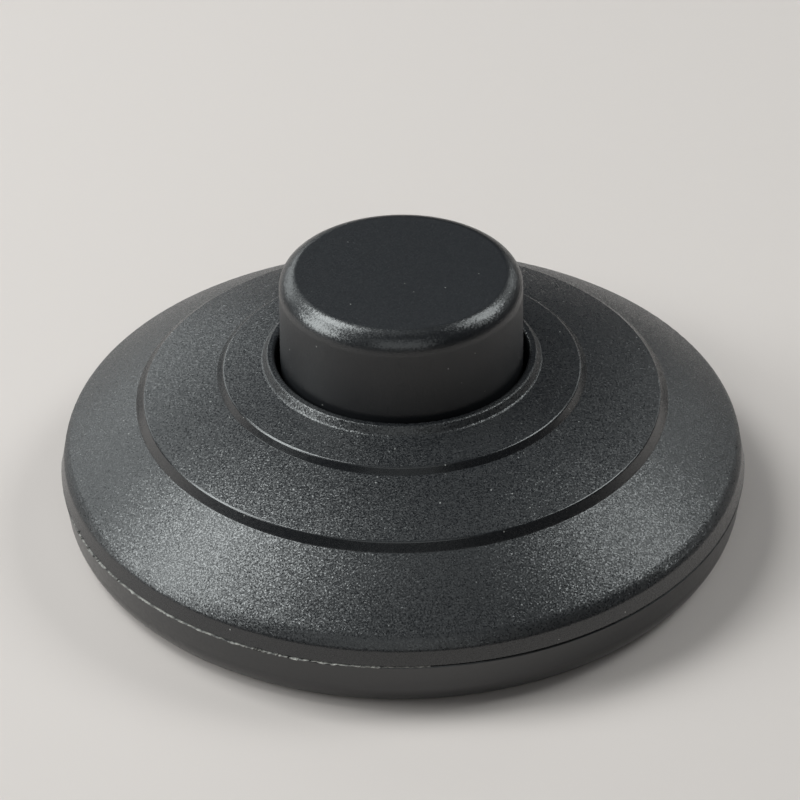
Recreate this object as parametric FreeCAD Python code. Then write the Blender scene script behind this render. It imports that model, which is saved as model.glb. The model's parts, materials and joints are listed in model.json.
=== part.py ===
"""Round foot switch for a lamp cord: a domed two-part case, a push button and a ratchet switch inside.

Millimetres, +Z up. The origin is on the standing face, on the button's axis. The cord runs along X.
"""

import FreeCAD
import Part

import os
from math import acos, atan, cos, degrees, pi, radians, sin, sqrt

Vector = FreeCAD.Vector
UP = Vector(0, 0, 1)
ALONG_X = Vector(1, 0, 0)
ORIGIN = Vector(0, 0, 0)
touching = 1e-6

# Case
case_diameter = 62.0
parting_height = 5.0
parting_gap = 0.1
parting_bevel = 0.08
cover_wall = 1.9
base_floor = 2.0
base_taper = 0.3
base_edge_radius = 2.6
base_corner_radius = 1.0
underside_recess_radius = 19.0
underside_recess_depth = 0.5
rim_height = 2.0
rim_draft = 0.48
shoulder_radius = 1.2
dome_radius = 53.5
crown_radius = 70.0
spigot_height = 0.9
spigot_width = 1.1
spigot_clearance = 0.1

# Rings moulded into the dome, from the rim inwards, and the lip round the button
outer_ring_radius = 23.15
outer_ring_step = 0.28
outer_ring_run = 0.7
inner_ring_radius = 15.95
inner_ring_step = 0.32
inner_ring_run = 0.55
ring_edge_radius = 0.4
lip_width = 0.7
lip_height = 0.6
lip_run = 0.43
lip_edge_radius = 0.2
lip_root_radius = 0.25
hole_edge_radius = 0.3

# Push button
button_travel = 4.0
button_rise = 8.16
button_radius = 10.82
button_taper = 0.12
button_side_clearance = 0.48
button_shoulder_radius = 1.4
button_wall = 1.6
button_top_thickness = 2.2
lug_count = 4
lug_width = 5.0
lug_height = 1.8
lug_reach = 2.5
lug_clearance = 0.2
keyway_wall = 1.4
sleeve_overlap = 0.4
skirt_clearance = 0.25

# Ratchet
tooth_count = 8
tooth_rise = 4.4
tooth_inner_radius = 4.6
tooth_outer_radius = 7.6
tooth_root = 0.3
tooth_side_clearance_deg = 1.5
tooth_clearance = 0.15
ramp_margin = 0.4
post_radius = 2.0
post_height = 15.0
post_shoulder_radius = 3.1
post_chamfer = 0.4
running_clearance = 0.05
rotor_disc_radius = 8.8
rotor_disc_thickness = 1.6
hub_radius = 3.5
hub_height = 2.9
boss_radius = 3.0
stake_pitch_radius = 4.1
stake_radius = 0.5
stake_head_radius = 0.8
stake_head_height = 0.35
stake_clearance = 0.05

# Return spring
spring_wire = 0.7
spring_radius = 2.95
spring_turns = 5
spring_seat_clearance = 0.05
spring_wire_sides = 6

# Contacts
strip_angles_deg = {"in": -135.0, "out": -45.0}
strip_seat_height = 0.8
strip_thickness = 0.8
strip_width = 5.0
strip_fence = 0.6
strip_fence_width = 1.0
strip_fence_clearance = 0.1
strip_seat_start = 10.2
contact_radius = 7.9
rivet_head_radius = 1.6
rivet_head_height = 0.5
rivet_shank_radius = 0.8
rivet_tail_radius = 1.2
rivet_tail_height = 0.35
contact_gap = 0.15
contact_point_radius = 1.1
contact_point_depth = 0.2
bridge_thickness = 0.5
bridge_arm_width = 4.4
bridge_arm_end = 9.3
bridge_centre_radius = 5.0
bridge_clearance = 0.1

# Screw terminals
terminal_radius = 18.6
strip_end = 21.4
collar_radius = 2.2
collar_depth = 0.6
collar_clearance = 0.3
terminal_screw_radius = 1.45
terminal_head_radius = 2.6
terminal_head_height = 1.7
terminal_screw_reach = 0.1
thread_clearance = 0.05
driver_slot_width = 0.8
driver_slot_depth = 0.8
clamp_plate_side = 6.0
clamp_plate_thickness = 0.8
clamp_plate_corner = 1.0
clamp_plate_clearance = 0.25
peg_radius = 0.8
peg_head_radius = 1.1
peg_head_height = 0.5
peg_clearance = 0.1
peg_head_gap = 0.4
neutral_link_offset = 19.3
neutral_link_length = 21.0
neutral_screw_spacing = 14.4

# Cord inlets and clamps
inlet_radius = 2.0
clamp_inset = 9.0
clamp_screw_spacing = 11.2
clamp_boss_radius = 2.1
clamp_boss_height = 2.8
clamp_thickness = 1.2
clamp_length = 15.4
clamp_width = 4.5
clamp_grip = 1.0
clamp_screw_radius = 1.1
clamp_head_radius = 2.0
clamp_head_height = 1.3
clamp_screw_depth = 3.0

# Cover screws
cover_screw_angles_deg = (40.0, 140.0, 270.0)
cover_screw_inset = 6.4
cover_screw_radius = 1.25
cover_screw_length = 5.6
cover_head_radius = 2.3
cover_head_height = 1.5
cover_hole_clearance = 0.3
counterbore_clearance = 0.4
counterbore_depth = 2.6
base_boss_radius = 3.7
cover_boss_radius = 2.7
pilot_spare = 0.5

# Derived radii
case_radius = case_diameter / 2
button_hole_radius = button_radius + button_side_clearance
lip_radius = button_hole_radius + lip_width
keyway_radius = button_radius + lug_reach + lug_clearance
sleeve_radius = keyway_radius + keyway_wall
spigot_outer_radius = case_radius - cover_wall - spigot_clearance
spigot_inner_radius = spigot_outer_radius - spigot_width
foot_radius = case_radius - base_taper - base_edge_radius
cover_screw_circle = case_radius - cover_screw_inset
clamp_position = case_radius - clamp_inset
first_peg_radius = strip_seat_start + peg_head_radius
second_peg_radius = terminal_radius - clamp_plate_side / 2 - peg_head_gap - peg_head_radius
strip_peg_radii = (first_peg_radius, second_peg_radius)

# Derived heights, from the floor up to the button
strip_bottom = base_floor + strip_seat_height
strip_top = strip_bottom + strip_thickness
rivet_top = strip_top + rivet_head_height
bridge_bottom = rivet_top + contact_gap + contact_point_depth
bridge_top = bridge_bottom + bridge_thickness
rotor_bottom = bridge_bottom - stake_head_height - 2 * running_clearance
disc_top = bridge_top + rotor_disc_thickness
tooth_base = disc_top + tooth_root
hub_top = disc_top + hub_height
crown_tip = tooth_base + tooth_clearance + button_travel
skirt_bottom = bridge_top + button_travel + skirt_clearance
sleeve_bottom = skirt_bottom - button_travel + sleeve_overlap
lug_top = skirt_bottom + lug_height

# Ratchet lead: the ramps climb by their rise over one tooth, and the teeth are a little engaged at rest
tooth_pitch = 2 * pi / tooth_count
ramp_lead = tooth_rise / tooth_pitch
rest_engagement = tooth_rise - button_travel
rest_phase_deg = degrees(rest_engagement / ramp_lead)
tooth_span = tooth_pitch - radians(tooth_side_clearance_deg)

# Domes about the axis, each by its centre's height and its radius. The outer one is tangent to the shoulder.
rim_lean = atan(rim_draft / rim_height)
shoulder_centre = case_radius - rim_draft - shoulder_radius * cos(rim_lean)
shoulder_height = parting_height + rim_height - shoulder_radius * sin(rim_lean)
dome_centre = shoulder_height - sqrt((dome_radius - shoulder_radius) ** 2 - shoulder_centre ** 2)
outer_dome = (dome_centre, dome_radius)
ceiling_dome = (dome_centre, dome_radius - cover_wall)


def dome_height(dome, radius):
    """Height of a dome at a radius."""
    centre, size = dome
    return centre + sqrt(size ** 2 - radius ** 2)


middle_top = dome_height(outer_dome, outer_ring_radius) + outer_ring_step
middle_centre = middle_top - sqrt(crown_radius ** 2 - outer_ring_radius ** 2)
middle_dome = (middle_centre, crown_radius)
inner_dome = (middle_centre + inner_ring_step, crown_radius)
lip_top = dome_height(inner_dome, lip_radius) + lip_height
button_top = lip_top + button_rise


def point(radius, height):
    """Point of a turned profile, in the XZ plane."""
    return Vector(radius, 0, height)


def polar(radius, angle_deg, height=0.0):
    """Point at a radius and an angle about the button's axis."""
    return Vector(radius * cos(radians(angle_deg)), radius * sin(radians(angle_deg)), height)


def line(start, end):
    return Part.makeLine(start, end)


def arc(start, middle, end):
    return Part.Arc(start, middle, end).toShape()


def dome_arc(dome, start_radius, end_radius):
    """Arc of a dome between two radii."""
    radii = (start_radius, (start_radius + end_radius) / 2, end_radius)
    return arc(*[point(radius, dome_height(dome, radius)) for radius in radii])


def corner_arc(centre_radius, centre_height, radius, start_deg, end_deg):
    """Arc of a turned profile about a centre, between two angles."""
    angles = (start_deg, (start_deg + end_deg) / 2, end_deg)
    centre = point(centre_radius, centre_height)
    return arc(*[centre + point(radius * cos(radians(a)), radius * sin(radians(a))) for a in angles])


def chain(*items):
    """Wire from points and ready-made edges, in order, with straight lines between them."""
    edges = []
    last = None
    for item in items:
        edge = None if isinstance(item, Vector) else item
        start = item if edge is None else edge.valueAt(edge.FirstParameter)
        if last is not None and (start - last).Length > touching:
            edges.append(line(last, start))
        if edge is not None:
            edges.append(edge)
        last = start if edge is None else edge.valueAt(edge.LastParameter)
    first = items[0] if isinstance(items[0], Vector) else items[0].valueAt(items[0].FirstParameter)
    if (first - last).Length > touching:
        edges.append(line(last, first))
    return Part.Wire(edges)


def turned(*items):
    """Solid of revolution about Z from a profile in the XZ plane."""
    return Part.Face(chain(*items)).revolve(ORIGIN, UP, 360)


def rounded(shape, radius, *places):
    """Turned solid with the circular edges through some points of its profile rounded."""
    edges = []
    for edge in shape.Edges:
        near = [place for place in places if edge.distToShape(Part.Vertex(place))[0] < touching]
        if near and edge.isClosed():
            edges.append(edge)
    return shape.makeFillet(radius, edges)


def disc(radius, bottom, top, place=ORIGIN):
    """Round solid between two heights."""
    return Part.makeCylinder(radius, top - bottom, place + Vector(0, 0, bottom), UP)


def ring(inner, outer, bottom, top, place=ORIGIN):
    """Tube between two heights."""
    return disc(outer, bottom, top, place).cut(disc(inner, bottom, top, place))


def block(length, width, bottom, top, place=ORIGIN):
    """Box with its length along X, centred on a place."""
    corner = place + Vector(-length / 2, -width / 2, bottom)
    return Part.makeBox(length, width, top - bottom, corner)


def turn(shape, angle_deg):
    """Copy of a shape turned about the button's axis."""
    copy = shape.copy()
    copy.rotate(ORIGIN, UP, angle_deg)
    return copy


def moved(shape, place):
    copy = shape.copy()
    copy.translate(place)
    return copy


def united(shapes):
    """One solid from pieces that touch."""
    whole = shapes[0].multiFuse(shapes[1:]) if len(shapes) > 1 else shapes[0]
    return whole.removeSplitter()


def ramp(start_deg, start_height, span, thickness):
    """Helical ramp over a span of one tooth, thickened straight up or down."""
    turn_pitch = 2 * pi * ramp_lead
    edges = []
    for radius in (tooth_inner_radius - ramp_margin, tooth_outer_radius + ramp_margin):
        edges.append(Part.makeHelix(turn_pitch, ramp_lead * span, radius).Edges[0])
    body = Part.makeRuledSurface(*edges).extrude(Vector(0, 0, thickness))
    return moved(turn(body, start_deg), Vector(0, 0, start_height))


def crown(first_deg, start_height, span, thickness, bottom, top):
    """Teeth round the axis, trimmed to the crown's ring."""
    envelope = ring(tooth_inner_radius, tooth_outer_radius, bottom, top)
    pitch_deg = degrees(tooth_pitch)
    teeth = []
    for number in range(tooth_count):
        tooth = ramp(first_deg + number * pitch_deg, start_height, span, thickness)
        teeth.append(tooth.common(envelope))
    return teeth


def slotted_screw(head_radius, head_height, shank_radius, shank_length):
    """Cheese-head screw, its shank down from the origin and a straight driver slot in its head."""
    screw = united([disc(head_radius, 0, head_height), disc(shank_radius, -shank_length, 0)])
    slot = block(3 * head_radius, driver_slot_width, head_height - driver_slot_depth, 2 * head_height)
    return screw.cut(slot)


def cap_radius(base_radius, height):
    """Radius of the sphere that a shallow cap is cut from."""
    return (base_radius ** 2 + height ** 2) / (2 * height)


def inlet_bores():
    """The round way in for the cord at both ends of the X axis, across the parting line."""
    reach = case_radius - terminal_radius
    bores = []
    for side in (-1, 1):
        start = Vector(side * terminal_radius, 0, parting_height)
        bores.append(Part.makeCylinder(inlet_radius, 2 * reach, start, ALONG_X * side))
    return bores


def cover_screw_places(height=0.0):
    return [polar(cover_screw_circle, angle, height) for angle in cover_screw_angles_deg]


def clamp_screw_places(height=0.0):
    places = []
    for side in (-1, 1):
        for end in (-1, 1):
            places.append(Vector(side * clamp_position, end * clamp_screw_spacing / 2, height))
    return places


def neutral_screw_places(height=0.0):
    return {
        "in": Vector(-neutral_screw_spacing / 2, neutral_link_offset, height),
        "out": Vector(neutral_screw_spacing / 2, neutral_link_offset, height),
    }


def terminal_places(height=0.0):
    """The four screw terminals by name, each with the angle that its strip runs at."""
    places = {}
    for name, angle in strip_angles_deg.items():
        places["live_" + name] = (polar(terminal_radius, angle, height), angle)
    for name, place in neutral_screw_places(height).items():
        places["neutral_" + name] = (place, 0.0)
    return places


def top_cover():
    """Domed upper shell with moulded rings, a lip, a keyed sleeve for the button and screw bosses."""
    ceiling = case_radius - cover_wall
    rim_bottom = parting_height + parting_gap
    outer_foot = outer_ring_radius + outer_ring_run
    inner_foot = inner_ring_radius + inner_ring_run
    lip_foot = lip_radius + lip_run
    tangent = shoulder_centre * dome_radius / (dome_radius - shoulder_radius)
    tangent_deg = degrees(acos(tangent / dome_radius))
    shell = turned(
        point(case_radius - parting_bevel, rim_bottom),
        point(case_radius, rim_bottom + parting_bevel),
        corner_arc(shoulder_centre, shoulder_height, shoulder_radius, degrees(rim_lean), tangent_deg),
        dome_arc(outer_dome, tangent, outer_foot),
        dome_arc(middle_dome, outer_ring_radius, inner_foot),
        dome_arc(inner_dome, inner_ring_radius, lip_foot),
        point(lip_radius, lip_top),
        point(button_hole_radius, lip_top),
        point(button_hole_radius, sleeve_bottom),
        point(sleeve_radius, sleeve_bottom),
        dome_arc(ceiling_dome, sleeve_radius, ceiling),
        point(ceiling, rim_bottom),
    )
    outer_ring_edge = point(outer_ring_radius, dome_height(middle_dome, outer_ring_radius))
    inner_ring_edge = point(inner_ring_radius, dome_height(inner_dome, inner_ring_radius))
    shell = rounded(shell, ring_edge_radius, outer_ring_edge, inner_ring_edge)
    shell = rounded(shell, lip_root_radius, point(lip_foot, dome_height(inner_dome, lip_foot)))
    shell = rounded(shell, lip_edge_radius, point(lip_radius, lip_top))
    shell = rounded(shell, hole_edge_radius, point(button_hole_radius, lip_top))
    under_skin = Part.makeSphere(dome_radius - cover_wall / 2, Vector(0, 0, dome_centre))
    bosses = []
    pilots = []
    for place in cover_screw_places():
        bosses.append(disc(cover_boss_radius, parting_height, lip_top, place).common(under_skin))
        end = counterbore_depth + cover_screw_length + pilot_spare
        pilots.append(disc(cover_screw_radius + thread_clearance, 0, end, place))
    keyways = []
    for number in range(lug_count):
        reach = 2 * keyway_radius
        key_width = lug_width + 2 * lug_clearance
        key = block(reach, key_width, 0, lug_top + lug_clearance, Vector(reach / 2, 0, 0))
        key = key.common(disc(keyway_radius, 0, button_top))
        keyways.append(turn(key, number * 360 / lug_count))
    cover = united([shell] + bosses)
    return cover.cut(pilots + keyways + inlet_bores())


def strip_seat(length, place, angle):
    """Raised seat with a fence along both sides of a brass strip."""
    bed_width = strip_width + 2 * (strip_fence_width + strip_fence_clearance)
    bed = block(length, bed_width, base_floor / 2, strip_bottom + strip_fence)
    channel_width = strip_width + 2 * strip_fence_clearance
    channel = block(2 * length, channel_width, strip_bottom, strip_top + strip_fence)
    return moved(turn(bed.cut(channel), angle), place)


def staked_peg(place):
    """Moulded peg through a strip, with its end spread into a head."""
    return united([
        disc(peg_radius, base_floor, strip_top + peg_head_height, place),
        disc(peg_head_radius, strip_top, strip_top + peg_head_height, place),
    ])


def strip_peg_places():
    """Pegs that hold the two live strips, and one in the middle of the neutral link."""
    places = [polar(radius, angle) for angle in strip_angles_deg.values() for radius in strip_peg_radii]
    return places + [Vector(0, neutral_link_offset, 0)]


def base_cover():
    """Lower shell with its pivot post, screw bosses, strip seats and cord clamp bosses."""
    floor_radius = spigot_inner_radius - base_corner_radius
    recess_top = underside_recess_depth
    shell = turned(
        point(0, recess_top),
        point(underside_recess_radius, recess_top),
        point(underside_recess_radius, 0),
        corner_arc(foot_radius, base_edge_radius, base_edge_radius, -90, 0),
        point(case_radius, parting_height - parting_bevel),
        point(case_radius - parting_bevel, parting_height),
        point(spigot_outer_radius, parting_height),
        point(spigot_outer_radius, parting_height + spigot_height),
        point(spigot_inner_radius, parting_height + spigot_height),
        corner_arc(floor_radius, base_floor + base_corner_radius, base_corner_radius, 0, -90),
        point(0, base_floor),
    )
    post = turned(
        point(0, base_floor / 2),
        point(post_shoulder_radius, base_floor / 2),
        point(post_shoulder_radius, rotor_bottom - running_clearance),
        point(post_radius, rotor_bottom - running_clearance),
        point(post_radius, post_height - post_chamfer),
        point(post_radius - post_chamfer, post_height),
        point(0, post_height),
    )
    solids = [shell, post]
    cuts = []
    for place in cover_screw_places():
        solids.append(disc(base_boss_radius, base_floor / 2, parting_height, place))
        cuts.append(disc(cover_screw_radius + cover_hole_clearance, 0, parting_height, place))
        cuts.append(disc(cover_head_radius + counterbore_clearance, 0, counterbore_depth, place))
    for place in clamp_screw_places():
        solids.append(disc(clamp_boss_radius, base_floor / 2, base_floor + clamp_boss_height, place))
        pilot_bottom = base_floor + clamp_boss_height - clamp_screw_depth - pilot_spare
        cuts.append(disc(clamp_screw_radius + thread_clearance, pilot_bottom, 2 * parting_height, place))
    seat_length = strip_end - strip_seat_start
    seat_centre = (strip_end + strip_seat_start) / 2
    for angle in strip_angles_deg.values():
        solids.append(strip_seat(seat_length, polar(seat_centre, angle), angle))
    solids.append(strip_seat(neutral_link_length, Vector(0, neutral_link_offset, 0), 0))
    for place, _ in terminal_places().values():
        cuts.append(disc(collar_radius + collar_clearance, base_floor, strip_top + strip_fence, place))
    pegs = [staked_peg(place) for place in strip_peg_places()]
    base = united(solids).cut(cuts + inlet_bores())
    return united([base] + pegs)


def push_button():
    """Tapered cup with a crown of drive teeth on a middle tube and lugs that keep it from turning."""
    side_top = button_top - button_shoulder_radius
    shoulder_centre_radius = button_radius - button_taper - button_shoulder_radius
    roof = button_top - button_top_thickness
    crown_root = crown_tip + tooth_rise
    cup = turned(
        point(0, button_top),
        corner_arc(shoulder_centre_radius, side_top, button_shoulder_radius, 90, 0),
        point(button_radius, lip_top),
        point(button_radius, skirt_bottom),
        point(button_radius - button_wall, skirt_bottom),
        point(button_radius - button_wall - button_taper, roof),
        point(tooth_outer_radius, roof),
        point(tooth_outer_radius, crown_root),
        point(tooth_inner_radius, crown_root),
        point(tooth_inner_radius, roof),
        point(0, roof),
    )
    side_gap = tooth_side_clearance_deg
    tip_height = crown_tip + ramp_lead * radians(side_gap)
    teeth = crown(side_gap, tip_height, tooth_span, tooth_rise, crown_tip, crown_root + tooth_root)
    lugs = []
    for number in range(lug_count):
        length = lug_reach + button_wall / 2
        place = Vector(button_radius + lug_reach - length / 2, 0, 0)
        lug = block(length, lug_width, skirt_bottom, lug_top, place)
        lug = lug.common(disc(button_radius + lug_reach, 0, button_top))
        lugs.append(turn(lug, number * 360 / lug_count))
    return united([cup] + teeth + lugs)


def bridge_stake_places():
    return [polar(stake_pitch_radius, angle) for angle in (45.0, 225.0)]


def ratchet_rotor():
    """Turned hub and disc with a crown of ramps above and two staked pegs that hold the contact bridge."""
    bore = post_radius + running_clearance
    body = turned(
        point(bore, rotor_bottom),
        point(boss_radius, rotor_bottom),
        point(boss_radius, bridge_top),
        point(rotor_disc_radius, bridge_top),
        point(rotor_disc_radius, disc_top),
        point(hub_radius, disc_top),
        point(hub_radius, hub_top),
        point(bore, hub_top),
    )
    depth = tooth_rise + 2 * tooth_root
    tooth_top = tooth_base + tooth_rise
    teeth = crown(rest_phase_deg, tooth_base, tooth_span, -depth, disc_top - tooth_root, tooth_top)
    stakes = []
    for place in bridge_stake_places():
        stakes.append(disc(stake_radius, bridge_bottom, disc_top, place))
        stakes.append(disc(stake_head_radius, bridge_bottom - stake_head_height, bridge_bottom, place))
    return united([body] + teeth + stakes)


def contact_bridge():
    """Four-armed brass plate under the rotor, with a pressed contact point at the end of each arm."""
    plate = disc(bridge_centre_radius, bridge_bottom, bridge_top)
    arms = []
    end_radius = bridge_arm_width / 2
    end_centre = bridge_arm_end - end_radius
    ball_radius = cap_radius(contact_point_radius, contact_point_depth)
    ball_centre = bridge_bottom - contact_point_depth + ball_radius
    for angle in (0, 90, 180, 270):
        bar = block(end_centre, bridge_arm_width, bridge_bottom, bridge_top, Vector(end_centre / 2, 0, 0))
        tip = disc(end_radius, bridge_bottom, bridge_top, Vector(end_centre, 0, 0))
        ball = Part.makeSphere(ball_radius, Vector(end_centre, 0, ball_centre))
        cap = ball.common(disc(ball_radius, 0, bridge_bottom, Vector(end_centre, 0, 0)))
        arms.append(turn(united([bar, tip, cap]), angle))
    holes = [disc(boss_radius + bridge_clearance, 0, disc_top)]
    for place in bridge_stake_places():
        holes.append(disc(stake_radius + stake_clearance, 0, disc_top, place))
    return united([plate] + arms).cut(holes)


def return_spring():
    """Coil between the rotor's hub and the button's roof."""
    roof = button_top - button_top_thickness
    bottom = hub_top + spring_seat_clearance + spring_wire / 2
    height = roof - spring_seat_clearance - spring_wire / 2 - bottom
    path = Part.makeHelix(height / spring_turns, height, spring_radius)
    corners = []
    for number in range(spring_wire_sides):
        angle = 360 * (number + 0.5) / spring_wire_sides
        offset = point(cos(radians(angle)), sin(radians(angle))) * (spring_wire / 2)
        corners.append(point(spring_radius, 0) + offset)
    section = Part.makePolygon(corners + corners[:1])
    coil = Part.Wire(path.Edges).makePipeShell([section], True, True)
    return moved(coil, Vector(0, 0, bottom))


def flat_strip(start, end, width):
    """Flat brass strip along X, with a round end at its start."""
    length = end - start
    bar = block(length, width, strip_bottom, strip_top, Vector(start + length / 2, 0, 0))
    return united([bar, disc(width / 2, strip_bottom, strip_top, Vector(start, 0, 0))])


def tapped_collar(place):
    """Drawn collar under a strip, which takes the terminal screw."""
    return disc(collar_radius, strip_bottom - collar_depth, strip_top, place)


def terminal_hole(place):
    return disc(terminal_screw_radius + thread_clearance, 0, parting_height, place)


def peg_hole(place):
    return disc(peg_radius + peg_clearance, 0, parting_height, place)


def live_contact(angle):
    """Sprung brass strip from a terminal in to its contact rivet."""
    terminal = Vector(terminal_radius, 0, 0)
    strip = united([flat_strip(contact_radius, strip_end, strip_width), tapped_collar(terminal)])
    rivet_hole = disc(rivet_shank_radius, 0, parting_height, Vector(contact_radius, 0, 0))
    peg_holes = [peg_hole(Vector(radius, 0, 0)) for radius in strip_peg_radii]
    holes = [terminal_hole(terminal), rivet_hole] + peg_holes
    return turn(strip.cut(holes), angle)


def contact_rivet(angle):
    """Silver rivet with a domed head, closed under the strip."""
    ball_radius = cap_radius(rivet_head_radius, rivet_head_height)
    edge_deg = degrees(acos(rivet_head_radius / ball_radius))
    rivet = turned(
        point(0, strip_bottom - rivet_tail_height),
        point(rivet_tail_radius, strip_bottom - rivet_tail_height),
        point(rivet_tail_radius, strip_bottom),
        point(rivet_shank_radius, strip_bottom),
        point(rivet_shank_radius, strip_top),
        corner_arc(0, rivet_top - ball_radius, ball_radius, edge_deg, 90),
    )
    return moved(rivet, polar(contact_radius, angle))


def neutral_link():
    """Straight brass bar that joins the two neutral terminals."""
    middle = Vector(0, neutral_link_offset, 0)
    places = list(neutral_screw_places().values())
    bar = block(neutral_link_length, strip_width, strip_bottom, strip_top, middle)
    link = united([bar] + [tapped_collar(place) for place in places])
    return link.cut([terminal_hole(place) for place in places] + [peg_hole(middle)])


def clamp_plate(place, angle):
    """Square plate that a terminal screw presses onto the wire."""
    plate = block(clamp_plate_side, clamp_plate_side, strip_top, strip_top + clamp_plate_thickness)
    upright = [edge for edge in plate.Edges if abs(edge.tangentAt(edge.FirstParameter).z) > 0.5]
    plate = plate.makeFillet(clamp_plate_corner, upright)
    plate = plate.cut(disc(terminal_screw_radius + clamp_plate_clearance, 0, parting_height))
    return moved(turn(plate, angle), place)


def terminal_screws():
    """Four slotted screws, one at each terminal."""
    seat = strip_top + clamp_plate_thickness
    length = seat - base_floor - terminal_screw_reach
    screw = slotted_screw(terminal_head_radius, terminal_head_height, terminal_screw_radius, length)
    return [moved(turn(screw, angle), place) for place, angle in terminal_places(seat).values()]


def cord_clamp(side):
    """Bowed bar that holds the cord down inside its inlet."""
    seat = base_floor + clamp_boss_height
    arch_centre = parting_height - clamp_grip
    bar = block(clamp_width, clamp_length, seat, seat + clamp_thickness)
    start = Vector(-clamp_width / 2, 0, arch_centre)
    arch = Part.makeCylinder(inlet_radius + clamp_thickness, clamp_width, start, ALONG_X)
    trough = Part.makeCylinder(inlet_radius, clamp_width, start, ALONG_X)
    above = block(2 * clamp_length, 2 * clamp_length, seat, 2 * button_top)
    clamp = united([bar, arch.common(above)]).cut(trough)
    for end in (-1, 1):
        hole = Vector(0, end * clamp_screw_spacing / 2, 0)
        clamp = clamp.cut(disc(clamp_screw_radius + cover_hole_clearance, 0, button_top, hole))
    return moved(clamp, Vector(side * clamp_position, 0, 0))


def cord_clamp_screws():
    """Four screws that hold the two cord clamps to their bosses."""
    seat = base_floor + clamp_boss_height + clamp_thickness
    length = clamp_thickness + clamp_screw_depth
    screw = slotted_screw(clamp_head_radius, clamp_head_height, clamp_screw_radius, length)
    return [moved(screw, place) for place in clamp_screw_places(seat)]


def cover_screws():
    """Screws from below that hold the two covers together."""
    screw = slotted_screw(cover_head_radius, cover_head_height, cover_screw_radius, cover_screw_length)
    screw.rotate(ORIGIN, ALONG_X, 180)
    return [moved(screw, place) for place in cover_screw_places(counterbore_depth)]


def parts():
    """Every node by name: one solid, or a group of like solids."""
    nodes = {
        "top_cover": top_cover(),
        "base_cover": base_cover(),
        "push_button": push_button(),
        "ratchet_rotor": ratchet_rotor(),
        "contact_bridge": contact_bridge(),
        "return_spring": return_spring(),
        "neutral_link": neutral_link(),
        "terminal_screws": Part.makeCompound(terminal_screws()),
        "cord_clamp_left": cord_clamp(-1),
        "cord_clamp_right": cord_clamp(1),
        "cord_clamp_screws": Part.makeCompound(cord_clamp_screws()),
        "cover_screws": Part.makeCompound(cover_screws()),
    }
    for name, angle in strip_angles_deg.items():
        nodes["live_" + name + "_contact"] = live_contact(angle)
        nodes["contact_rivet_" + name] = contact_rivet(angle)
    for name, (place, angle) in terminal_places().items():
        nodes[name + "_clamp_plate"] = clamp_plate(place, angle)
    return nodes


os.makedirs("parts", exist_ok=True)
for node_name, shape in parts().items():
    shape.exportStep("parts/" + node_name + ".step")
    print(node_name, len(shape.Solids), "solids", round(shape.Volume, 1), "mm3", shape.isValid())
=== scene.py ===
"""A lamp foot switch in black moulded plastic on a plain pale floor.

The scene is in metres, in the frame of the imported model. Lengths below are in millimetres, which MM turns
to metres, except for the stage, whose lengths are in metres.
"""

import json
import math
import random

import bmesh
import bpy
from mathutils import Matrix, Vector


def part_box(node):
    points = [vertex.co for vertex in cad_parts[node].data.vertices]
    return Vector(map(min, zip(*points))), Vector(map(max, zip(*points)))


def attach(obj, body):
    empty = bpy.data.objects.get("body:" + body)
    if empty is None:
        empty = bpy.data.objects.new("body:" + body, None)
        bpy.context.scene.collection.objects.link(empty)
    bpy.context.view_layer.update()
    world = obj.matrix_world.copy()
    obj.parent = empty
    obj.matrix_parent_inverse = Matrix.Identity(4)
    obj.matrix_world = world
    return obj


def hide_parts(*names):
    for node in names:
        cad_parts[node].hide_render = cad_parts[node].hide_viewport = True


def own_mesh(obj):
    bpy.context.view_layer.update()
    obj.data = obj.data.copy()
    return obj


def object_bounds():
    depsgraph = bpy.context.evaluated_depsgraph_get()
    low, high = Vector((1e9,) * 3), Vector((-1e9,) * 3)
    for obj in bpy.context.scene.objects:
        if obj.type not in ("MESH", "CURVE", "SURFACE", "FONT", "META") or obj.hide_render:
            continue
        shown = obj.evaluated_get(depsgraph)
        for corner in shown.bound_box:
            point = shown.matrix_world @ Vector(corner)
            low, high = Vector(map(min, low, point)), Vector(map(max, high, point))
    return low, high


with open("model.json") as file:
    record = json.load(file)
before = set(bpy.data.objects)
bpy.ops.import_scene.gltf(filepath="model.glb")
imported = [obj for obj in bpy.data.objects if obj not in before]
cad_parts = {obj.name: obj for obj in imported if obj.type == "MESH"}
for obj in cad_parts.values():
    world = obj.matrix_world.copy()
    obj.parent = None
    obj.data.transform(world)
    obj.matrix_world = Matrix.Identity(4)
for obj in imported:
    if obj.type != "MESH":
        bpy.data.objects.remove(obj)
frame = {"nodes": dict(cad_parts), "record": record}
cad_low, cad_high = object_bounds()

MM = 0.001


def color(red, green, blue):
    """Colour with full cover."""
    return (red, green, blue, 1.0)


# Case, as in the solids: radii of the rim and of the two risers, and the height of the parting line
case_radius = 31.0
outer_riser = (23.04, 23.85)
inner_riser = (15.85, 16.5)
parting_height = 5.05

# Heights of the case's finish: end of the polished rim, full grain, and fade of the shoulder's rounding
rim_top = 6.35
shoulder_low = 6.75
shoulder_mid = 7.0
shoulder_top = 7.7

# Risers: blur of the grain's edge, and where the steep shade begins, is full and ends
riser_blur = 0.04
riser_shade_start = 0.06
riser_shade_full = 0.2
riser_shade_end = 0.01
riser_steepness = 0.9
shoulder_roundness = 0.5

# Button and spring, as in the solids
button_flat_radius = 9.3
button_shoulder = 1.4
spring_radius = 2.95
spring_wire = 0.7
spring_turns = 5

# Fineness of the round spring's mesh
spring_steps_per_turn = 48
spring_sides = 14

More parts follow.
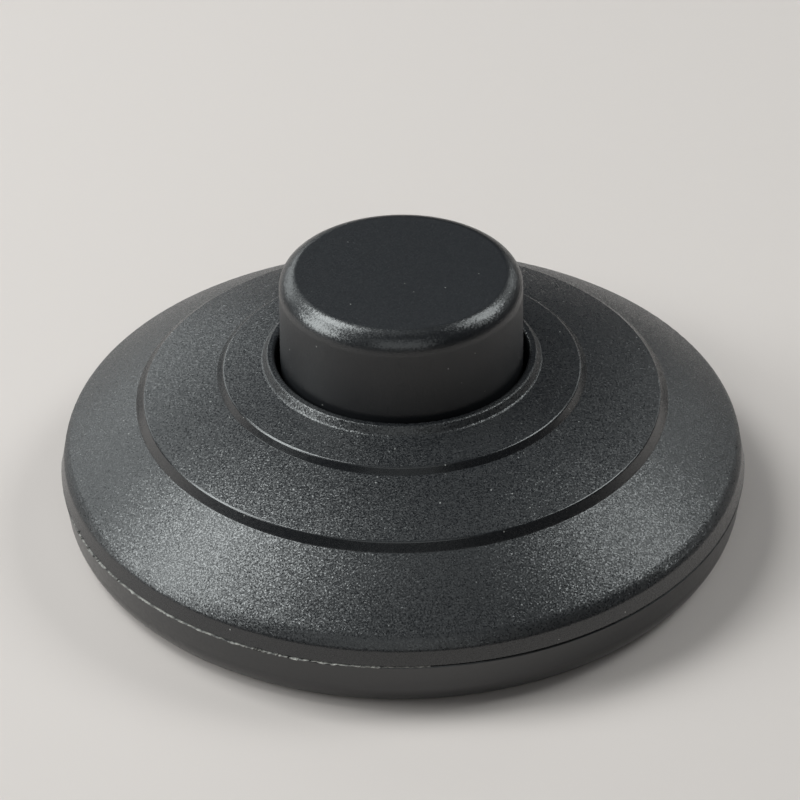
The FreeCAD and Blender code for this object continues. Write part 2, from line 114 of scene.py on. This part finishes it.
# Button's finish: margins of its shoulder below and above, and of its flat top inside and outside
button_margin_low = 0.6
button_margin_high = 0.5
button_margin_inner = 0.15
button_margin_outer = 0.35
button_roundness = 0.7
button_side_grain = 0.15
button_top_grain = 0.5
button_shoulder_matt = 0.04
button_rounding_matt = 0.02
button_top_matt = 0.14
button_side_matt = 0.18

# Reflection of the black plastics
plastic_ior = 1.59
plastic_gloss = 0.66

# Grain of the plastics, as the size of its facets and how far they lean
case_grain = (0.14, 0.56)
button_grain = (0.15, 0.5)
base_grain = (0.3, 0.04)
clamp_grain = (0.3, 0.1)
rim_grain_share = 0.1
pit_size = 0.13
pit_noise = (0.36, 0.64)
pit_roughness = (0.02, 0.27)

# Light specks of dust, as their spacing and radius
dust = (1.6, 0.07)
case_dust_color = color(0.3, 0.3, 0.29)
button_dust_color = color(0.22, 0.22, 0.21)

# Noises that vary the finishes: sizes of colour patches and of specks of roughness, and their detail
case_patches = 6.0
base_patches = 5.0
button_patches = 4.0
nylon_patches = 2.5
clamp_patches = 3.0
flash_patches = 0.5
patch_detail = 3.0
case_speckle = 0.25
base_speckle = 0.3
button_speckle = 0.2
case_speckle_detail = 1.0
speckle_detail = 2.0

# Middle of a noise's colours, and the parts of a noise's range that a finish follows
noise_middle = (0.5, 0.5, 0.5)
noise_range = (0.3, 0.7)
tarnish_range = (0.35, 0.7)
flash_range = (0.35, 0.65)

# Colours of the plastics, each from one to another
case_colors = (color(0.007, 0.008, 0.0095), color(0.0095, 0.0105, 0.0125))
base_colors = (color(0.007, 0.0078, 0.009), color(0.0095, 0.0103, 0.0118))
button_colors = (color(0.006, 0.0068, 0.0085), color(0.008, 0.009, 0.011))
nylon_colors = (color(0.78, 0.76, 0.69), color(0.86, 0.84, 0.78))
clamp_colors = (color(0.04, 0.04, 0.042), color(0.06, 0.06, 0.062))
flash_colors = (color(0.06, 0.06, 0.06), color(0.42, 0.41, 0.38))

# Roughness of the plastics, each from one to another
case_roughness = (0.22, 0.28)
base_roughness = (0.28, 0.36)
button_roughness = (0.22, 0.28)
nylon_roughness = (0.38, 0.5)
clamp_roughness = (0.4, 0.5)
flash_roughness = (0.35, 0.55)

# Nylon: share and depth of the light that enters it, in metres, and its bump as size and depth
nylon_glow = 0.12
nylon_glow_depth = 0.001
nylon_bump = (0.4, 0.006)

# Metals, each as its tarnished colour, its clean colour, its roughness and the stretch of its drawn lines
contact_brass = (color(0.55, 0.36, 0.13), color(0.82, 0.6, 0.27), (0.24, 0.4), (1.0, 0.08, 1.0))
contact_silver = (color(0.7, 0.68, 0.64), color(0.9, 0.89, 0.86), (0.16, 0.28), None)
spring_steel = (color(0.32, 0.32, 0.34), color(0.6, 0.6, 0.62), (0.22, 0.36), None)
plated_steel = (color(0.5, 0.5, 0.51), color(0.72, 0.72, 0.73), (0.22, 0.36), (1.0, 1.0, 0.1))
tarnish_size = 3.0
tarnish_detail = 4.0
line_size = 0.3
line_detail = 3.0
line_depth = 0.004
metal_noise_roughness = 0.6

# Moulding flash along the parting line, as azimuths in degrees and lengths
flash_seed = 7
flash_from = -161.0
flash_to = -86.0
flash_step_deg = 0.16
flash_fade_in = 8
flash_fade_out = 5
flash_setback = 0.02
flash_root = 30.88
flash_root_half = 0.06
flash_tip_half = 0.02
flash_limit = 30.98
flash_reach = (-0.02, 0.14)
flash_reach_kept = 0.75
flash_reach_added = 0.5
flash_lift = (-0.12, 0.12)
flash_lift_kept = 0.7
flash_lift_added = 0.3
burr_count = 26
burr_margin = 4
burr_sizes = (0.04, 0.22)
burr_reach_share = 0.5

# Stage
floor_half = 3.0
floor_color = color(0.65, 0.592, 0.565)
floor_roughness = 0.9
floor_gloss = 0.15
surround_color = color(0.92, 0.95, 1.0)
surround_strength = 0.035
studio_tint = (0.945, 1.0, 1.0)
sky_tint = (0.75, 0.85, 1.0)

# Soft boxes, each as its name, azimuth and elevation in degrees, distance, size, radiance and tint
SOFT_BOXES = (
    ("left_box", 166, 55, 0.65, (0.3, 0.3), 8.8, studio_tint),
    ("left_low_box", 187, 29, 0.65, (0.36, 0.26), 7.6, studio_tint),
    ("right_box", 17, 45, 0.65, (0.27, 0.3), 5.2, studio_tint),
    ("top_box", -90, 85, 0.8, (0.4, 0.3), 0.45, studio_tint),
    ("front_box", -90, 36, 0.9, (0.7, 0.5), 0.85, studio_tint),
    ("back_left_box", 125, 18, 1.1, (0.8, 0.35), 2.3, studio_tint),
    ("back_right_box", 52, 20, 1.1, (0.4, 0.25), 1.7, studio_tint),
    ("back_high_box", 92, 40, 1.0, (0.7, 0.4), 0.12, sky_tint),
)

# Camera: place, axes, focal length in pixels of the image, sensor's width and nearest distance in metres
camera_place = (0.0, -199.502, 147.656)
camera_right = (0.99994, -0.00564, -0.00963)
camera_up = (0.01113, 0.56711, 0.82357)
focal_pixels = 2687.0
image_pixels = 800
sensor_width = 36.0
camera_near = 0.01


class Shader:
    """A material's node tree around one Principled shader."""

    def __init__(self, name):
        self.material = bpy.data.materials.new(name)
        self.material.use_nodes = True
        self.tree = self.material.node_tree
        self.surface = self.tree.nodes["Principled BSDF"]
        self.place = self.node("TexCoord").outputs["Object"]

    def node(self, kind):
        """New node of a kind."""
        return self.tree.nodes.new("ShaderNode" + kind)

    def put(self, target, value):
        """Sets an input to a number or colour, or links it to an output."""
        if isinstance(value, bpy.types.NodeSocket):
            self.tree.links.new(value, target)
        else:
            target.default_value = value

    def set(self, **inputs):
        """Sets inputs of the Principled shader, with _ for a space in their names."""
        for name, value in inputs.items():
            title = name.replace("_", " ").title().replace("Ior", "IOR")
            self.put(self.surface.inputs[title], value)

    def math(self, operation, first, second=0.0):
        """Number from one or two numbers."""
        made = self.node("Math")
        made.operation = operation
        self.put(made.inputs[0], first)
        self.put(made.inputs[1], second)
        return made.outputs[0]

    def vector(self, operation, first, second=None):
        """Vector from a vector and a second vector or a scale."""
        made = self.node("VectorMath")
        made.operation = operation
        self.put(made.inputs[0], first)
        if second is not None:
            self.put(made.inputs["Scale" if operation == "SCALE" else 1], second)
        return made.outputs[0]

    def split(self):
        """The X, Y and Z of the place, in metres."""
        made = self.node("SeparateXYZ")
        self.put(made.inputs[0], self.place)
        return made.outputs

    def height(self):
        """Height above the floor at rest, in metres."""
        return self.split()["Z"]

    def radius(self):
        """Distance from the button's axis, in metres."""
        x, y, _ = self.split()
        squares = self.math("ADD", self.math("MULTIPLY", x, x), self.math("MULTIPLY", y, y))
        return self.math("SQRT", squares)

    def noise(self, size, detail, roughness=0.5, stretch=None):
        """Outputs of a noise with features of about a size in millimetres."""
        made = self.node("TexNoise")
        made.inputs["Scale"].default_value = 1.0 / (size * MM)
        made.inputs["Detail"].default_value = detail
        made.inputs["Roughness"].default_value = roughness
        place = self.place if stretch is None else self.vector("MULTIPLY", self.place, stretch)
        self.put(made.inputs["Vector"], place)
        return made.outputs

    def cloud(self, size, detail, roughness=0.5, stretch=None):
        """Noise as one number."""
        return self.noise(size, detail, roughness, stretch)["Fac"]

    def specks(self, spacing, size):
        """Mask of scattered specks with a spacing and a radius in millimetres."""
        made = self.node("TexVoronoi")
        made.inputs["Scale"].default_value = 1.0 / (spacing * MM)
        self.put(made.inputs["Vector"], self.place)
        return self.math("LESS_THAN", made.outputs["Distance"], size / spacing)

    def ramp(self, value, stops):
        """Straight lines between stops of (position, value)."""
        made = self.node("FloatCurve")
        curve = made.mapping.curves[0]
        made.mapping.extend = "HORIZONTAL"
        for index, (position, height) in enumerate(stops):
            if index < len(curve.points):
                curve.points[index].location = (position, height)
            else:
                curve.points.new(position, height)
        for spot in curve.points:
            spot.handle_type = "VECTOR"
        made.mapping.update()
        self.put(made.inputs["Value"], value)
        return made.outputs[0]

    def spread(self, value, low, high, out_low, out_high):
        """Value from one range to another, clamped."""
        made = self.node("MapRange")
        limits = (("From Min", low), ("From Max", high), ("To Min", out_low), ("To Max", out_high))
        for name, number in limits:
            made.inputs[name].default_value = number
        self.put(made.inputs["Value"], value)
        return made.outputs[0]

    def blend(self, factor, first, second):
        """Colour between two colours."""
        made = self.node("Mix")
        made.data_type = "RGBA"
        self.put(made.inputs["Factor"], factor)
        self.put(made.inputs["A"], first)
        self.put(made.inputs["B"], second)
        return made.outputs["Result"]

    def bump(self, height, depth):
        """Bump of a depth in millimetres."""
        made = self.node("Bump")
        made.inputs["Distance"].default_value = depth * MM
        self.put(made.inputs["Height"], height)
        self.put(self.surface.inputs["Normal"], made.outputs[0])

    def leaning(self, out, up):
        """Vector with a length away from the button's axis and a length upward."""
        radial = self.vector("NORMALIZE", self.vector("MULTIPLY", self.place, (1.0, 1.0, 0.0)))
        made = self.node("CombineXYZ")
        self.put(made.inputs["Z"], up)
        return self.vector("ADD", self.vector("SCALE", radial, out), made.outputs[0])

    def grain(self, size, tilt, shift=None):
        """Facets of a size in millimetres that lean at random, up to the tilt, about a shifted normal."""
        facets = self.noise(size, detail=0.0)["Color"]
        lean = self.vector("SCALE", self.vector("SUBTRACT", facets, noise_middle), tilt)
        plain = self.node("NewGeometry").outputs["Normal"]
        if shift is not None:
            plain = self.vector("ADD", plain, shift)
        self.put(self.surface.inputs["Normal"], self.vector("ADD", plain, lean))


def riser_free(shader, radius):
    """Share of the grain at a radius: none on the risers of the rings, and full on the terraces."""
    stops = [(0.0, 1.0)]
    for low, high in (inner_riser, outer_riser):
        stops += [
            ((low - riser_blur) / case_radius, 1.0),
            ((low + riser_blur) / case_radius, 0.0),
            ((high - riser_blur) / case_radius, 0.0),
            ((high + riser_blur) / case_radius, 1.0),
        ]
    stops.append((1.0, 1.0))
    return shader.ramp(shader.math("DIVIDE", radius, case_radius * MM), stops)


def riser_steep(shader, radius):
    """How far the risers lean outward at a radius."""
    steep = 0.0
    for low, high in (inner_riser, outer_riser):
        start, full = (low + riser_shade_start) * MM, (low + riser_shade_full) * MM
        top = shader.spread(radius, start, full, 0.0, riser_steepness)
        foot = shader.spread(radius, high * MM, (high + riser_shade_end) * MM, 1.0, 0.0)
        steep = shader.math("ADD", steep, shader.math("MULTIPLY", top, foot))
    return steep


def case_plastic():
    """Black plastic with a spark-eroded grain, but for the polished risers of the rings and the rim."""
    shader = Shader("case_plastic_grained")
    radius, height = shader.radius(), shader.height()
    above_rim = shader.spread(height, rim_top * MM, shoulder_low * MM, rim_grain_share, 1.0)
    amount = shader.math("MULTIPLY", riser_free(shader, radius), above_rim)
    rounding = shader.spread(height, rim_top * MM, shoulder_low * MM, 0.0, shoulder_roundness)
    fade = shader.spread(height, shoulder_mid * MM, shoulder_top * MM, 1.0, 0.0)
    rounding = shader.math("MULTIPLY", rounding, fade)
    pits = shader.spread(shader.cloud(pit_size, detail=0.0), *pit_noise, *pit_roughness)
    speckle = shader.spread(shader.cloud(case_speckle, case_speckle_detail), *noise_range, *case_roughness)
    plain = shader.blend(shader.cloud(case_patches, patch_detail), *case_colors)
    shader.set(
        base_color=shader.blend(shader.specks(*dust), plain, case_dust_color),
        roughness=shader.math("ADD", shader.math("MULTIPLY", amount, pits), speckle),
        ior=plastic_ior,
        specular_ior_level=plastic_gloss,
    )
    size, tilt = case_grain
    shift = shader.leaning(riser_steep(shader, radius), rounding)
    shader.grain(size, shader.math("MULTIPLY", amount, tilt), shift)
    return shader.material


def base_plastic():
    """The same black plastic, smoother."""
    shader = Shader("base_plastic_smooth")
    shader.set(
        base_color=shader.blend(shader.cloud(base_patches, patch_detail), *base_colors),
        roughness=shader.spread(shader.cloud(base_speckle, speckle_detail), *noise_range, *base_roughness),
        ior=plastic_ior,
        specular_ior_level=plastic_gloss,
    )
    shader.grain(*base_grain)
    return shader.material


def button_plastic():
    """Black plastic, fine-matt on its flat top, grained round the shoulder and satin on its side."""
    shader = Shader("button_plastic_satin")
    radius, height = shader.radius(), shader.height()
    low = cad_high.z - (button_shoulder + button_margin_low) * MM
    high = cad_high.z - (button_shoulder - button_margin_high) * MM
    inner = (button_flat_radius - button_margin_inner) * MM
    outer = (button_flat_radius + button_margin_outer) * MM
    shoulder = shader.spread(height, low, high, button_side_grain, 1.0)
    amount = shader.math("MULTIPLY", shoulder, shader.spread(radius, inner, outer, button_top_grain, 1.0))
    rounding = shader.spread(height, low, high, 0.0, button_roundness)
    rounding = shader.math("MULTIPLY", rounding, shader.spread(radius, inner, outer, 0.0, 1.0))
    roughness = shader.spread(shader.cloud(button_speckle, speckle_detail), *noise_range, *button_roughness)
    for matt in (
        shader.math("MULTIPLY", shoulder, button_shoulder_matt),
        shader.math("MULTIPLY", rounding, button_rounding_matt),
        shader.spread(radius, inner, outer, button_top_matt, 0.0),
        shader.spread(height, low, high, button_side_matt, 0.0),
    ):
        roughness = shader.math("ADD", roughness, matt)
    plain = shader.blend(shader.cloud(button_patches, patch_detail), *button_colors)
    shader.set(
        base_color=shader.blend(shader.specks(*dust), plain, button_dust_color),
        roughness=roughness,
        ior=plastic_ior,
        specular_ior_level=plastic_gloss,
    )
    size, tilt = button_grain
    shader.grain(size, shader.math("MULTIPLY", amount, tilt), shader.leaning(rounding, rounding))
    return shader.material


def rotor_nylon():
    """Milky moulded nylon."""
    shader = Shader("rotor_nylon_moulded")
    cloud = shader.cloud(nylon_patches, patch_detail)
    shader.set(
        base_color=shader.blend(cloud, *nylon_colors),
        roughness=shader.spread(cloud, *noise_range, *nylon_roughness),
        subsurface_weight=nylon_glow,
        subsurface_scale=nylon_glow_depth,
    )
    size, depth = nylon_bump
    shader.bump(shader.cloud(size, speckle_detail), depth)
    return shader.material


def clamp_plastic():
    """Dark grey moulded plastic."""
    shader = Shader("clamp_plastic_moulded")
    cloud = shader.cloud(clamp_patches, patch_detail)
    shader.set(
        base_color=shader.blend(cloud, *clamp_colors),
        roughness=shader.spread(cloud, *noise_range, *clamp_roughness),
    )
    shader.grain(*clamp_grain)
    return shader.material


def flash_plastic():
    """The case's plastic, thin and whitened."""
    shader = Shader("flash_plastic_thin")
    patch = shader.cloud(flash_patches, patch_detail)
    shader.set(
        base_color=shader.blend(shader.spread(patch, *flash_range, 0.0, 1.0), *flash_colors),
        roughness=shader.spread(patch, *noise_range, *flash_roughness),
    )
    return shader.material


def metal(name, tarnished, clean, roughness, stretch):
    """Metal with drawn or rolled lines and light tarnish."""
    shader = Shader(name)
    tarnish = shader.cloud(tarnish_size, tarnish_detail, metal_noise_roughness)
    lines = shader.cloud(line_size, line_detail, metal_noise_roughness, stretch)
    shader.set(
        base_color=shader.blend(shader.spread(tarnish, *tarnish_range, 0.0, 1.0), clean, tarnished),
        metallic=1.0,
        roughness=shader.spread(lines, *noise_range, *roughness),
    )
    shader.bump(lines, line_depth)
    return shader.material


MATERIALS = {
    "case_plastic": case_plastic(),
    "base_plastic": base_plastic(),
    "button_plastic": button_plastic(),
    "rotor_nylon": rotor_nylon(),
    "clamp_plastic": clamp_plastic(),
    "contact_brass": metal("contact_brass_rolled", *contact_brass),
    "contact_silver": metal("contact_silver_headed", *contact_silver),
    "spring_steel": metal("spring_steel_drawn", *spring_steel),
    "plated_steel": metal("plated_steel_turned", *plated_steel),
}


def dress_nodes():
    """Gives each solid the material of its slot."""
    for subpart in frame["record"]["subparts"]:
        node = frame["nodes"][subpart["node"]]
        for slot in node.material_slots:
            slot.material = MATERIALS[subpart["material_slot"]]


def toward(angle):
    """Level vector of length one at an angle in radians."""
    return Vector((math.cos(angle), math.sin(angle), 0.0))


def upward(length):
    """Upright vector of a length."""
    return Vector((0.0, 0.0, length))


def placed(name, data):
    """New object in the scene."""
    made = bpy.data.objects.new(name, data)
    bpy.context.scene.collection.objects.link(made)
    return made


def new_piece(name, mesh, body, material):
    """Object for a new mesh that rides on a body and counts to a slot."""
    piece = placed(name, mesh)
    mesh.materials.append(material)
    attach(piece, body)
    return piece


def strand(name, rows, smooth):
    """Closed mesh along rows of points, each row a loop across it."""
    shape = bmesh.new()
    loops = [[shape.verts.new(spot) for spot in row] for row in rows]
    for first, second in zip(loops, loops[1:]):
        for side in range(len(first)):
            after = (side + 1) % len(first)
            face = shape.faces.new((first[side], first[after], second[after], second[side]))
            face.smooth = smooth
    shape.faces.new(reversed(loops[0]))
    shape.faces.new(loops[-1])
    bmesh.ops.recalc_face_normals(shape, faces=shape.faces)
    mesh = bpy.data.meshes.new(name)
    shape.to_mesh(mesh)
    shape.free()
    return mesh


def round_spring():
    """Coil of round wire in the place of the plain one, riding on the rotor's body."""
    low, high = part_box("return_spring")
    wire = spring_wire / 2 * MM
    bottom, top = low.z + wire, high.z - wire
    steps = spring_steps_per_turn * spring_turns
    rows = []
    for step in range(steps + 1):
        share = step / steps
        outward = toward(2 * math.pi * spring_turns * share)
        centre = outward * spring_radius * MM + upward(bottom + (top - bottom) * share)
        row = []
        for side in range(spring_sides):
            turn = 2 * math.pi * side / spring_sides
            row.append(centre + outward * wire * math.cos(turn) + upward(wire * math.sin(turn)))
        rows.append(row)
    mesh = strand("return_spring_round", rows, smooth=True)
    piece = new_piece("return_spring_coil", mesh, "rotor", MATERIALS["spring_steel"])
    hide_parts("return_spring")
    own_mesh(piece)


def parting_flash():
    """Ragged thread of moulding flash in the parting groove, with a few longer burrs."""
    draw = random.Random(flash_seed)
    count = int((flash_to - flash_from) / flash_step_deg)
    burrs = {}
    for _ in range(burr_count):
        burrs[draw.randrange(burr_margin, count - burr_margin)] = draw.uniform(*burr_sizes)
    rows = []
    reach, lift = 0.0, 0.0
    for step in range(count + 1):
        angle = math.radians(flash_from + step * flash_step_deg)
        share = step / count
        fade = min(1.0, flash_fade_in * share, flash_fade_out * (1 - share))
        burr = burrs.get(step, 0.0)
        reach = flash_reach_kept * reach + flash_reach_added * draw.uniform(*flash_reach)
        lift = flash_lift_kept * lift + flash_lift_added * draw.uniform(*flash_lift)
        rise = lift + burr
        tip = case_radius - flash_setback + fade * reach + burr_reach_share * burr
        tip = min(tip, flash_limit / max(abs(math.cos(angle)), abs(math.sin(angle))))
        section = (
            (flash_root, -flash_root_half),
            (tip, rise - flash_tip_half),
            (tip, rise + flash_tip_half),
            (flash_root, flash_root_half),
        )
        outward = toward(angle)
        spots = [outward * radius + upward(parting_height + height) for radius, height in section]
        rows.append([spot * MM for spot in spots])
    mesh = strand("parting_flash", rows, smooth=False)
    new_piece("parting_flash", mesh, "housing", flash_plastic())


def floor():
    """Plain pale floor."""
    corners = [(-1, -1), (1, -1), (1, 1), (-1, 1)]
    mesh = bpy.data.meshes.new("floor")
    mesh.from_pydata([(x * floor_half, y * floor_half, 0) for x, y in corners], [], [(0, 1, 2, 3)])
    shader = Shader("floor_pale")
    shader.set(base_color=floor_color, roughness=floor_roughness, specular_ior_level=floor_gloss)
    mesh.materials.append(shader.material)
    piece = placed("floor", mesh)


def soft_box(name, azimuth, elevation, distance, size, radiance, tint):
    """Soft box that faces the switch."""
    width, height = size
    lamp = bpy.data.lights.new(name, "AREA")
    lamp.shape = "RECTANGLE"
    lamp.size, lamp.size_y = size
    lamp.energy = radiance * math.pi * width * height
    lamp.color = tint
    lift = math.radians(elevation)
    away = toward(math.radians(azimuth)) * math.cos(lift) + upward(math.sin(lift))
    holder = placed(name, lamp)
    holder.location = away * distance + upward(shoulder_top * MM)
    holder.rotation_mode = "QUATERNION"
    holder.rotation_quaternion = (-away).to_track_quat("-Z", "Y")


def lights():
    """Soft boxes at both sides, dimmer ones overhead, in front and behind, and a dim surround."""
    for box in SOFT_BOXES:
        soft_box(*box)
    world = bpy.data.worlds.new("surround")
    bpy.context.scene.world = world
    world.use_nodes = True
    surround = world.node_tree.nodes["Background"]
    surround.inputs["Color"].default_value = surround_color
    surround.inputs["Strength"].default_value = surround_strength


def camera():
    """Camera at the photograph's angle."""
    lens = bpy.data.cameras.new("camera")
    lens.sensor_width = sensor_width
    lens.lens = focal_pixels / image_pixels * sensor_width
    lens.clip_start = camera_near
    right = Vector(camera_right).normalized()
    back = right.cross(Vector(camera_up)).normalized()
    up = back.cross(right)
    turn = Matrix((right, up, back)).transposed().to_4x4()
    holder = placed("camera", lens)
    holder.matrix_world = Matrix.Translation(Vector(camera_place) * MM) @ turn
    bpy.context.scene.camera = holder


dress_nodes()
round_spring()
parting_flash()
floor()
lights()
camera()
bpy.context.scene.view_settings.view_transform = "Standard"
